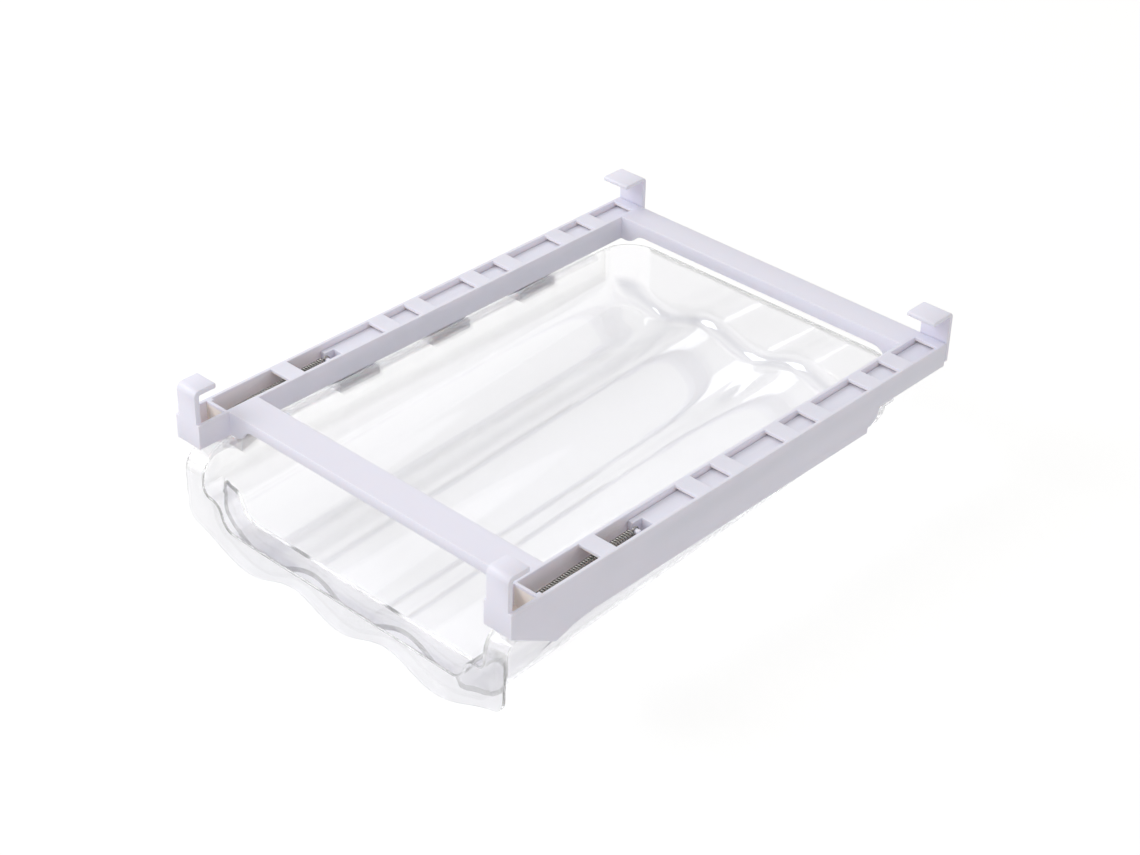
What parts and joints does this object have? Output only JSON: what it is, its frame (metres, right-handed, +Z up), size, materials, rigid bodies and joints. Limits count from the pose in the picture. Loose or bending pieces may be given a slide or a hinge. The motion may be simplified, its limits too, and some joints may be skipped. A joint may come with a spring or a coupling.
{
  "type": "fridge drawer organizer",
  "caption": "Clear pull-out drawer in a white frame that hangs under a shelf on fixed front hooks and sprung sliding rear hooks.",
  "frame": {"origin": "middle of the front crossbar's top face, in the frame's top plane", "axes": "+Z up, +Y back along the rails, +X to the right of a person who faces the drawer"},
  "size_m": [0.205, 0.2924, 0.0816],
  "materials": {
    "frame_plastic": "fine satin, injection moulded",
    "slider_plastic": "fine satin, injection moulded",
    "spring_steel": "dark drawn wire",
    "drawer_plastic": "clear, polished"
  },
  "bodies": {
    "frame": {"left_rail": "frame_plastic", "right_rail": "frame_plastic", "left_rail_bridges": "frame_plastic", "right_rail_bridges": "frame_plastic", "left_skirt": "frame_plastic", "right_skirt": "frame_plastic", "left_guide_ledges": "frame_plastic", "right_guide_ledges": "frame_plastic", "front_crossbar": "frame_plastic", "rear_crossbar": "frame_plastic", "left_front_hook": "frame_plastic", "right_front_hook": "frame_plastic", "left_spring_anchor": "frame_plastic", "right_spring_anchor": "frame_plastic", "left_spring": "spring_steel", "right_spring": "spring_steel"},
    "left_slider": {"left_slider": "slider_plastic", "left_rear_hook": "slider_plastic", "left_spring_bar": "slider_plastic"},
    "right_slider": {"right_slider": "slider_plastic", "right_rear_hook": "slider_plastic", "right_spring_bar": "slider_plastic"},
    "drawer": {"drawer_tray": "drawer_plastic", "drawer_front_sill": "drawer_plastic", "drawer_apron": "drawer_plastic", "drawer_left_flange": "drawer_plastic", "drawer_right_flange": "drawer_plastic"}
  },
  "joints": [
    {"name": "left_slider_slide", "type": "slide", "parent": "frame", "child": "left_slider", "axis": [0, 1, 0], "range_m": [0, 0.06], "stiffness_N_per_m": 60, "springref_m": -0.03, "deforming": ["left_spring"]},
    {"name": "right_slider_slide", "type": "slide", "parent": "frame", "child": "right_slider", "axis": [0, 1, 0], "range_m": [0, 0.06], "stiffness_N_per_m": 60, "springref_m": -0.03, "deforming": ["right_spring"]},
    {"name": "drawer_slide", "type": "slide", "parent": "frame", "child": "drawer", "axis": [0, -1, 0], "range_m": [0, 0.16]}
  ]
}
